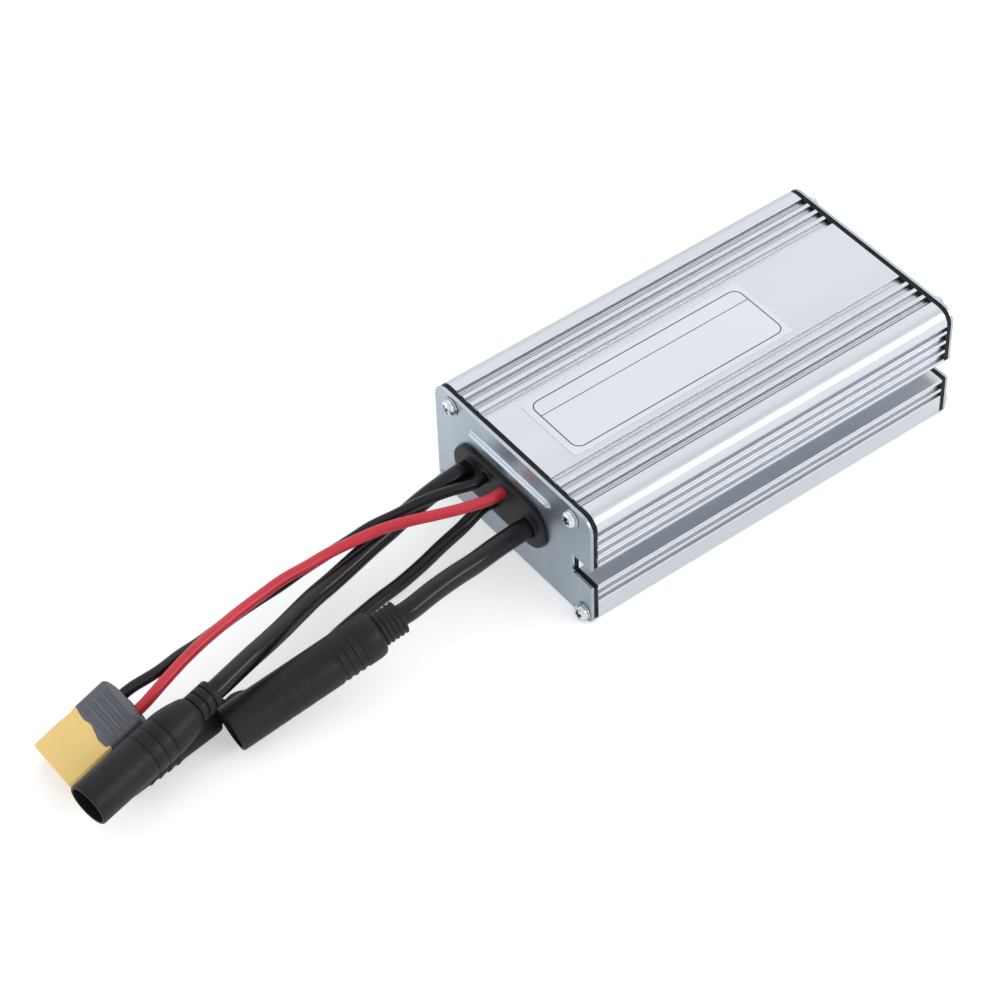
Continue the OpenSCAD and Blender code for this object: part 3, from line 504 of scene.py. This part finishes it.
# ---- Cable grommet ----
# One moulding of black rubber, pushed into the plate's oval hole and snapped in behind it. Each
# cable passes through a hole of its own with a low lip round it.
grommet_y, grommet_z, grommet_w, grommet_h, grommet_t = 4.7, 19.0, 41.0, 16.0, 1.6
plate_out = plate_in + plate_t
tail_out, tail_l = 1.3, 12.0
mouth_x = -(plate_out + grommet_t + tail_out)
exits = {"harness": (18.0, 19.5, 2.9), "black": (10.0, 22.8, 1.6), "red": (2.0, 23.4, 1.6),
         "sensor": (6.3, 16.3, 2.0), "motor": (-9.2, 18.5, 3.1)}


def oval(x, inset, steps=28):
    r = grommet_h / 2 - inset
    reach = (grommet_w - grommet_h) / 2
    ring = []
    for side in (1, -1):
        for k in range(steps + 1):
            a = math.radians(side * 90 - 180 * k / steps)
            ring.append(Vector((x, grommet_y + side * reach + r * math.cos(a), grommet_z + r * math.sin(a))))
    return ring


moulding = bmesh.new()
front = -plate_out
face = front - grommet_t
loft(moulding, [oval(front + 0.05, 0.1), oval(front - 0.3, 0), oval(face + 0.4, 0), oval(face + 0.15, 0.08),
                oval(face + 0.03, 0.25), oval(face, 0.45), oval(face, 3.5)])
for y, z, r in exits.values():
    lip = Matrix.Translation((face + 0.05, y, z)) @ Matrix.Rotation(math.radians(-90), 4, "Y")
    lathe(moulding, [(r + 0.8, 0), (r + 0.6, 0.18), (r + 0.3, 0.3), (r + 0.08, 0.26), (r + 0.02, 0.1),
                     (r + 0.02, 0)], lip, steps=48)
grommet_rubber = finish("grommet_rubber", (0.007, 0.008, 0.009), (0.015, 0.016, 0.017), (0.4, 0.52),
                        fine=1200, cloud=90, bump=0.2, Specular_IOR_Level=0.35)
grommet = finish_mesh("grommet_moulding", moulding, "cable_grommet", smooth=40)
wears(grommet, grommet_rubber)

# ---- Rating label ----
# A rectangle of silvery white film stuck on the roof's plain panel. Its print is left off but for
# a rounded frame and the rule under the heading.
label_x, label_half_w, label_t, label_r = (-53.0, 25.0), 12.5, 0.15, 1.0
frame_x, frame_y, frame_r, frame_line = (-51.0, 23.6), (-10.9, 10.9), 3.0, 0.4
rule_y, rule_w = 5.2, 0.28


def rounded_box(x0, x1, y0, y1, r, z):
    corners = filleted([(x0, y0, r), (x1, y0, r), (x1, y1, r), (x0, y1, r)], steps=6)
    return [Vector((p.x, p.y, z)) for p in corners]


film = bmesh.new()
top = height + label_t
loops = [rounded_box(label_x[0] + inset, label_x[1] - inset, inset - label_half_w, label_half_w - inset,
                     label_r, z)
         for inset, z in ((0, height + 0.01), (0, top - 0.03), (0.03, top))]
for inset in (0, frame_line):
    loops.append(rounded_box(frame_x[0] + inset, frame_x[1] - inset, frame_y[0] + inset,
                             frame_y[1] - inset, frame_r - inset, top))
loft(film, loops)
film.faces.ensure_lookup_table()
count = len(loops[0])
for face in film.faces[3 * count:4 * count]:
    face.material_index = 1
rule = [film.verts.new((x, y, top + 0.006)) for x, y in (
    (frame_x[0] + 0.2, rule_y), (frame_x[1] - 0.2, rule_y), (frame_x[1] - 0.2, rule_y + rule_w),
    (frame_x[0] + 0.2, rule_y + rule_w))]
low = [film.verts.new((v.co.x, v.co.y, top - 0.01)) for v in rule]
for quad in [rule] + [[low[k], low[(k + 1) % 4], rule[(k + 1) % 4], rule[k]] for k in range(4)]:
    film.faces.new(quad).material_index = 1
label = finish_mesh("rating_film", film, "rating_label", smooth=30)
label_film = finish("silver_label_film", (0.76, 0.77, 0.83), (0.80, 0.81, 0.86), (0.38, 0.5),
                    fine=1600, cloud=18, bump=0.08, bump_depth=0.00001)
label_ink = finish("grey_label_ink", (0.08, 0.08, 0.10), (0.13, 0.13, 0.15), (0.5, 0.6), fine=5000)
wears(label, label_film)
label.data.materials.append(label_ink)

# ---- Cables ----
# Stranded copper in plastic sheaths: red and black silicone power wires, and three round black
# cables for harness, motor and sensors. Each runs from the grommet to its own connector.
lead_out, lead_in = 3.5, 4.0
plug_pitch = math.radians(22)
plug_point = Vector((-209.5, 10.6, 3.80))
plug_ahead = Vector((math.cos(plug_pitch), 0, math.sin(plug_pitch)))
plug_l, boot_l, contact_y = 15.0, 11.0, 3.6
boot_end = plug_point + (plug_l + boot_l) * plug_ahead


def heading(yaw, dip):
    yaw, dip = math.radians(yaw), math.radians(dip)
    return Vector((math.cos(dip) * math.cos(yaw), math.cos(dip) * math.sin(yaw), -math.sin(dip)))


harness_at, harness_turn = Vector((-168.0, -4.2, 19.0)), (189.5, 6.6)
motor_at, motor_turn = Vector((-113.3, -12.6, 17.6)), (176.2, 11.0)
sensor_at, sensor_turn = Vector((-162.2, -0.1, 4.6)), (187.7, 0.0)

red_points = [(-10.75, 4.25, 23), (-17.75, 7.75, 22), (-24.25, 11.5, 20.75), (-31.25, 14.75, 19.5),
              (-38.5, 17, 18), (-46, 18.5, 17), (-53.5, 19, 16.25), (-61.25, 19.25, 16),
              (-69, 18.5, 15.75), (-76.5, 17.25, 16), (-84, 15.5, 16.5), (-91.5, 13.5, 17),
              (-98.75, 11.25, 17.25), (-106.25, 8.75, 17)]
black_points = [(-10.75, 12.25, 22.75), (-17.75, 15, 21), (-24.5, 17.25, 18.75), (-31.5, 19.5, 16.75),
                (-38.75, 20.75, 14.5), (-46, 21.5, 13), (-53.5, 21.75, 12), (-61, 21.25, 11.5),
                (-68.75, 20.75, 11.5), (-76.25, 19.75, 12), (-83.5, 18.25, 12.75), (-91, 16.5, 13.75),
                (-98.25, 15.25, 14.75), (-105.75, 13.75, 15.25)]
harness_points = [(-11.25, 18.25, 18), (-18.75, 18.5, 15.5), (-26, 18.25, 13), (-33.75, 17.5, 11.5),
                  (-41.5, 16, 10.75), (-49, 14, 11), (-56.5, 11.75, 12), (-63.75, 8.75, 13.5),
                  (-71.25, 5.25, 15.5), (-78.5, 2.25, 17.25), (-86, -0.5, 18.75)]
sensor_points = [(-10.75, 5.5, 14), (-17.75, 5.75, 11), (-24.75, 5.75, 8), (-32, 6, 5.25),
                 (-39.5, 6, 3.75), (-47, 5.25, 2.75), (-54.5, 4, 2.25), (-62, 1.75, 2.25),
                 (-69.5, 0, 2.25), (-76.75, -1, 2.25), (-83.25, -1, 2.75)]
motor_points = [(-11, -9.75, 18.5), (-18.5, -10.75, 18.75), (-26, -11.5, 19.25), (-33.5, -12.25, 19.25)]


def smooth_line(points, count):
    """Even points on one smooth curve through the given ones."""
    ends = [points[0] * 2 - points[1]] + points + [points[-1] * 2 - points[-2]]
    fine_line = []
    for a, b, c, d in zip(ends[:-3], ends[1:-2], ends[2:-1], ends[3:]):
        for k in range(24):
            t = k / 24
            fine_line.append(0.5 * (2 * b + (c - a) * t + (2 * a - 5 * b + 4 * c - d) * t * t
                                    + (3 * b - a - 3 * c + d) * t ** 3))
    fine_line.append(points[-1])
    reach = [0.0]
    for a, b in zip(fine_line[:-1], fine_line[1:]):
        reach.append(reach[-1] + (b - a).length)
    out, k = [], 0
    for i in range(count):
        want = reach[-1] * i / (count - 1)
        while k < len(reach) - 2 and reach[k + 1] < want:
            k += 1
        t = (want - reach[k]) / (reach[k + 1] - reach[k])
        out.append(fine_line[k].lerp(fine_line[k + 1], t))
    return out


def cable(name, cad, points, end, ahead, count, material):
    """One sheathed cable: a round tube from its exit through its points to its connector."""
    y, z, r = exits[name]
    start = Vector((mouth_x, y, z))
    route = [start, start - Vector((lead_out, 0, 0))]
    route += [Vector(point) + Vector((mouth_x, 0, 0)) for point in points]
    route += [end - lead_in * ahead, end]
    line = smooth_line(route, 6 * count)
    tube, up, rings = bmesh.new(), Vector((0, 0, 1)), []
    for i, p in enumerate(line):
        along = (line[min(i + 1, len(line) - 1)] - line[max(i - 1, 0)]).normalized()
        across = along.cross(up).normalized()
        up = across.cross(along)
        rings.append([p + r * (math.cos(math.tau * k / 32) * across + math.sin(math.tau * k / 32) * up)
                      for k in range(32)])
    loft(tube, rings)
    piece = finish_mesh(name + "_run", tube, cad, smooth=60)
    wears(piece, material)
    path = [tuple(p * MM) for p in smooth_line(route, count)]
    length = sum((b - a).length for a, b in zip(line[:-1], line[1:])) * MM
    return piece, start * MM, length, path


black_sheath = finish("black_cable_sheath", (0.005, 0.005, 0.007), (0.008, 0.008, 0.010),
                      (0.18, 0.26), fine=700, cloud=60, bump=0.03, bump_depth=0.00003,
                      Specular_IOR_Level=0.4)
red_sheath = finish("red_silicone_sheath", (0.58, 0.022, 0.040), (0.70, 0.032, 0.055),
                    (0.28, 0.36), fine=900, cloud=70, bump=0.03, bump_depth=0.00002)
red_away = -Vector((9.5, 1, 3.2)).normalized()
black_away = -Vector((9.7, -0.3, 2.4)).normalized()
runs = {}
for name, points, end, ahead, count, material, sheath in (
        ("red", red_points, boot_end - Vector((0, contact_y, 0)), red_away, 40, red_sheath, "red_sheath"),
        ("black", black_points, boot_end + Vector((0, contact_y, 0)), black_away, 40, black_sheath,
         "black_sheath"),
        ("harness", harness_points, harness_at, heading(*harness_turn), 36, black_sheath, "black_sheath"),
        ("sensor", sensor_points, sensor_at, heading(*sensor_turn), 36, black_sheath, "black_sheath"),
        ("motor", motor_points, motor_at, heading(*motor_turn), 24, black_sheath, "black_sheath")):
    cad = {"red": "red_power_wire", "black": "black_power_wire"}.get(name, name + "_cable")
    runs[name] = cable(name, cad, points, end, ahead, count, material)

# The last of each sheath passes through the grommet and a little way into the housing
tails = bmesh.new()
length = tail_out + grommet_t + plate_t + tail_l
for name, (y, z, r) in exits.items():
    done = len(tails.faces)
    inward = Matrix.Translation((mouth_x, y, z)) @ Matrix.Rotation(math.radians(90), 4, "Y")
    lathe(tails, [(0, 0), (r, 0), (r, length), (0, length)], inward, steps=48)
    tails.faces.ensure_lookup_table()
    for face in tails.faces[done:]:
        face.material_index = 1 if name == "red" else 0
tails = finish_mesh("cable_tail_ends", tails, "cable_tails", smooth=60)
wears(tails, black_sheath)
tails.data.materials.append(red_sheath)

# ---- Power plug ----
# A six sided two pin plug of glass filled nylon, with two gilt pins in a deep shroud. A grey boot
# of soft plastic is pushed over its back, where the two wires are soldered.
plug_w, plug_t, plug_cut, shroud_d, plug_wall = 18.6, 8.2, 1.3, 9.0, 0.9
contact_r = 1.75
in_plug = Matrix.Translation(plug_point) @ Matrix.Rotation(-plug_pitch, 4, "Y")


def plug_ring(inset, r):
    w, t = plug_w / 2 - inset, plug_t / 2 - inset
    return filleted([(-w, -t, r), (w - plug_cut, -t, r), (w, plug_cut - t, r), (w, t - plug_cut, r),
                     (w - plug_cut, t, r), (-w, t, r)], steps=5)


plug = bmesh.new()
stations = [(shroud_d, plug_wall), (0.25, plug_wall), (0.0, plug_wall - 0.2), (0.0, 0.25), (0.08, 0.08),
            (0.3, 0.0), (10.0, 0.0), (10.12, 0.12), (13.4, 0.12), (13.5, 0.0), (plug_l - 0.2, 0.0),
            (plug_l, 0.2), (plug_l, 1.0), (plug_l + 6, 1.0)]
loft(plug, [[in_plug @ Vector((x, p[0], p[1])) for p in plug_ring(inset, max(0.05, 0.55 - inset / 2))]
            for x, inset in stations])
amber = finish("amber_nylon", (0.96, 0.65, 0.215), (0.99, 0.73, 0.27), (0.42, 0.55), fine=1300,
               cloud=40, bump=0.15, bump_depth=0.00002,
               Subsurface_Weight=0.15, Subsurface_Scale=0.002)
plug_piece = finish_mesh("plug_shell", plug, "plug_housing", smooth=40)
wears(plug_piece, amber)

gilt = finish("gilt_contact", (0.75, 0.52, 0.2), (0.85, 0.62, 0.28), (0.2, 0.32), metal=1.0, fine=2500)
pins = bmesh.new()
pin_line = [(0, 0), (0.6, 0.02), (1.2, 0.2), (1.55, 0.6), (contact_r, 1.2), (contact_r, 6.4), (1.6, 6.55),
            (1.6, 6.95), (contact_r, 7.1), (contact_r, 20.5), (0, 20.5)]
for side in (-1, 1):
    stand = in_plug @ Matrix.Translation((1.5, side * contact_y, 0)) @ Matrix.Rotation(math.pi / 2, 4, "Y")
    lathe(pins, pin_line, stand, steps=40)
plug_pins = finish_mesh("plug_pins", pins, "plug_contacts")
wears(plug_pins, gilt)

# The boot's front edge waves. Soft ribs cross its top and its underside, parted by four grooves.
edge_y = [9.5, 7.6, 5.6, 3.6, 0.4, -2.4, -4.8, -7.2, -9.5]
edge_x = [14.9, 14.8, 14.4, 14.2, 14.8, 14.1, 13.5, 13.6, 14.3]
groove_at, groove_half = [16.3, 18.7, 21.1, 23.5], 0.45
ribs_x, ribs_y, rib_rise = (15.2, 25.4), (-8.2, 6.4), 0.7


def between(value, keys, values):
    """Smooth steps between the values at falling keys."""
    for a, b, p, q in zip(keys[:-1], keys[1:], values[:-1], values[1:]):
        if value >= b:
            t = held((a - value) / (a - b))
            return p + (q - p) * t * t * (3 - 2 * t)
    return values[-1]


boot = bmesh.new()
boot_rings = []
rear_x = plug_l + boot_l
for i in range(73):
    t = i / 72
    back = max(0, t - 0.9) / 0.1
    inset = 0.1 + 1.5 * (1 - math.sqrt(max(0, 1 - back * back)))
    ring = []
    for p in spread_points(plug_ring(-0.08, 1.3), 0.45):
        shrink = 1 - (inset - 0.1) / (plug_t / 2)
        y, z = p[0] * (1 - (inset - 0.1) / (plug_w / 2)), p[1] * shrink
        front_x = between(y, edge_y, edge_x)
        end_x = rear_x + 0.5 - 0.022 * max(0, y - 2) ** 2 - 0.012 * max(0, -y - 1) ** 2
        x = front_x + (end_x - front_x) * t
        if abs(z) > plug_t / 2 - 0.5:
            window = held((ribs_y[1] - y) / 0.8) * held((y - ribs_y[0]) / 0.8)
            near = min(abs(x - at) for at in groove_at)
            rise = rib_rise * held((near - groove_half) / 0.5) * window
            rise *= held((x - ribs_x[0]) / 0.4) * held((ribs_x[1] - x) / 0.4)
            z += math.copysign(rise, z)
        if i == 0:
            z, y = z * 0.94, y * 0.97
        ring.append(in_plug @ Vector((x, y, z)))
    boot_rings.append(ring)
loft(boot, boot_rings)
boot_grey = finish("boot_grey_plastic", (0.085, 0.09, 0.105), (0.125, 0.13, 0.15), (0.42, 0.55),
                   fine=1100, cloud=55, bump=0.2, bump_depth=0.00003)
boot_piece = finish_mesh("plug_boot_cover", boot, "plug_boot", smooth=60)
wears(boot_piece, boot_grey)
for name in ("red", "black"):
    piece, start, length, path = runs[name]

# ---- Round connectors ----
# Moulded sleeves of matt black plastic, each with a ribbed neck that holds the cable, finger
# grooves and a round mouth. Inside is an insert with thin gilt pins.
connector_black = finish("connector_black_plastic", (0.007, 0.007, 0.009), (0.012, 0.012, 0.015),
                         (0.40, 0.52), fine=1500, cloud=70, bump=0.12, bump_depth=0.00003,
                         Specular_IOR_Level=0.32)


def neck_line(r, length, rings, deep):
    """(radius, height, dent) points of a neck whose rings are parted by slots."""
    pitch = length / rings
    line = [(0, 0), (r - 1.0, 0), (r - 0.3, 0.1)]
    for k in range(rings):
        low = k * pitch
        line += [(r - 0.05, low + 0.3), (r, low + 0.5), (r, low + pitch - 0.8), (r, low + pitch - 0.55, 0.15),
                 (r, low + pitch - 0.4, deep), (r, low + pitch, deep), (r, low + pitch + 0.1, 0.15)]
    return line[:-1]


def groove_line(r, at, width, deep):
    return [(r, at - 0.2), (r, at, 0.2 * deep), (r, at + 0.15, deep), (r, at + width - 0.15, deep),
            (r, at + width, 0.2 * deep), (r, at + width + 0.2)]


def mouth_line(r, length, wall, deep):
    return [(r, length - 0.5), (r - 0.06, length - 0.2), (r - 0.25, length), (r - wall + 0.12, length),
            (r - wall, length - 0.12), (r - wall, length - deep), (0, length - deep)]


def leaving(point, yaw, dip):
    return (Matrix.Translation(point) @ Matrix.Rotation(math.radians(yaw), 4, "Z")
            @ Matrix.Rotation(math.radians(90 + dip), 4, "Y"))


def turned(line):
    """The same points with their dents reaching all the way round."""
    return [(r - sum(dent), z) for r, z, *dent in line]


def all_round(angle):
    return 1.0


def near_side(angle):
    """Grooves that fade out before they reach the top."""
    return held((math.cos(angle - 1.35) + 0.2) / 0.3)


def two_sided(angle):
    """Slots that leave a web at two opposite sides."""
    return held((abs(math.sin(angle - 0.9)) - 0.16) / 0.1)


def connector(name, line, place, r, length, pin_count, window=all_round):
    """A moulded sleeve with its contacts and insert, on the end of the cable of the same name."""
    sleeve = bmesh.new()
    lathe(sleeve, line, place, steps=120, window=window)
    body = finish_mesh(name + "_sleeve", sleeve, name + "_connector", smooth=32)
    wears(body, connector_black)
    contacts = bmesh.new()
    pin = [(0, -12.0), (0.5, -12.0), (0.5, -0.5), (0.42, -0.2), (0.25, -0.04), (0, 0)]
    for k in range(pin_count):
        at = place @ Matrix.Rotation(math.tau * k / pin_count, 4, "Z")
        lathe(contacts, pin, at @ Matrix.Translation(((r - 0.9) * 0.55, 0, length - 6)), steps=16)
    contacts = finish_mesh(name + "_contacts", contacts, name + "_pins")
    wears(contacts, gilt)
    insert = bpy.data.objects[name + "_insert"]
    wears(insert, connector_black)


r, length = 6.4, 45.6
line = neck_line(4.1, 7.6, 3, 0.6)
line += [(4.35, 7.8), (4.75, 8.5), (5.1, 9.6), (5.4, 10.8), (5.75, 12.2), (6.05, 13.8), (6.28, 15.4),
         (r, 17.0)]
for at in (18.2, 21.8, 25.4):
    line += groove_line(r, at, 0.6, 0.28)
line += [(r, 43.9), (r + 0.02, 44.1), (r + 0.02, 44.6)]
line += mouth_line(r, length, 0.8, 18)
connector("harness", line, leaving(harness_at, *harness_turn), r, length, 8, two_sided)

r, length = 6.7, 54.9
line = turned(neck_line(4.9, 7.6, 5, 0.35))
line += [(5.4, 7.65), (5.9, 7.9), (6.3, 8.4), (6.55, 9.2), (r, 10.4)]
for at in (14.2, 16.5, 18.8, 21.1):
    line += groove_line(r, at, 1.3, 0.3)
for at in (31.0, 35.0, 39.0, 43.0):
    line += groove_line(r, at, 0.5, 0.06)
line += mouth_line(r, length, 0.85, 18)
connector("motor", line, leaving(motor_at, *motor_turn), r, length, 9, near_side)

r, length = 4.6, 36.0
line = neck_line(3.0, 5.0, 3, 0.3)
line += [(3.5, 5.05), (4.0, 5.3), (4.2, 5.9), (4.25, 7.0)]
for at in (18.6, 21.7, 24.8, 27.9):
    line += [(4.25, at), (4.32, at + 0.8), (r, at + 2.2), (r, at + 2.5), (4.28, at + 2.7)]
line += mouth_line(4.3, length, 0.7, 18)
connector("sensor", line, leaving(sensor_at, *sensor_turn), r, length, 3)

# ---- Studio ----
# A plain pale floor and soft light. The floor also stands for the white surroundings that the
# bright metal reflects.
floor_mesh = bmesh.new()
bmesh.ops.create_grid(floor_mesh, x_segments=1, y_segments=1, size=3.0)
floor_data = bpy.data.meshes.new("studio_floor")
floor_mesh.to_mesh(floor_data)
floor_mesh.free()
floor = bpy.data.objects.new("studio_floor", floor_data)
floor.location.z = -0.0001
bpy.context.scene.collection.objects.link(floor)
paper = bpy.data.materials.new("studio_paper")
paper.use_nodes = True
tree = paper.node_tree
surface = tree.nodes["Principled BSDF"]
surface.inputs["Base Color"].default_value = (0.82, 0.82, 0.82, 1)
surface.inputs["Roughness"].default_value = 0.9
surface.inputs["Emission Color"].default_value = (1, 1, 1, 1)
paths = node(tree, "ShaderNodeLightPath")
seen = node(tree, "ShaderNodeMath", operation="MULTIPLY", inputs={1: 0.42})
mirrored = node(tree, "ShaderNodeMath", operation="MULTIPLY_ADD", inputs={1: 0.2})
tree.links.new(paths.outputs["Is Camera Ray"], seen.inputs[0])
tree.links.new(paths.outputs["Is Glossy Ray"], mirrored.inputs[0])
tree.links.new(seen.outputs["Value"], mirrored.inputs[2])
tree.links.new(mirrored.outputs["Value"], surface.inputs["Emission Strength"])
floor_data.materials.append(paper)

world = bpy.data.worlds.new("studio")
world.use_nodes = True
bpy.context.scene.world = world
sky = world.node_tree.nodes["Background"]
sky.inputs["Color"].default_value = (0.95, 0.97, 1.0, 1)
sky.inputs["Strength"].default_value = 0.8


def soft_light(name, location, target, size, power):
    lamp = bpy.data.lights.new(name, "AREA")
    lamp.shape = "RECTANGLE"
    lamp.size, lamp.size_y = size
    lamp.energy = power
    made = bpy.data.objects.new(name, lamp)
    made.location = location
    made.rotation_euler = (Vector(target) - Vector(location)).to_track_quat("-Z", "Y").to_euler()
    bpy.context.scene.collection.objects.link(made)


soft_light("back_panel", (0.65, 0.75, 0.98), (0, 0, 0.02), (1.3, 1.3), 1.6)
soft_light("key_light", (0.55, -0.86, 0.66), (0, 0, 0.02), (1.3, 0.3), 5.0)
soft_light("edge_light", (-0.95, 0.65, 0.32), (-0.06, 0, 0.02), (0.6, 0.4), 1.2)

lens = bpy.data.cameras.new("camera")
lens.lens = 118.35
lens.sensor_width = 36
lens.clip_start = 0.01
camera = bpy.data.objects.new("camera", lens)
camera.location = (-0.42893, -0.50099, 0.68452)
camera.rotation_euler = [math.radians(a) for a in (42.983, 1.562, -37.322)]
bpy.context.scene.collection.objects.link(camera)
bpy.context.scene.camera = camera
bpy.context.scene.view_settings.view_transform = "Standard"

bpy.context.view_layer.update()
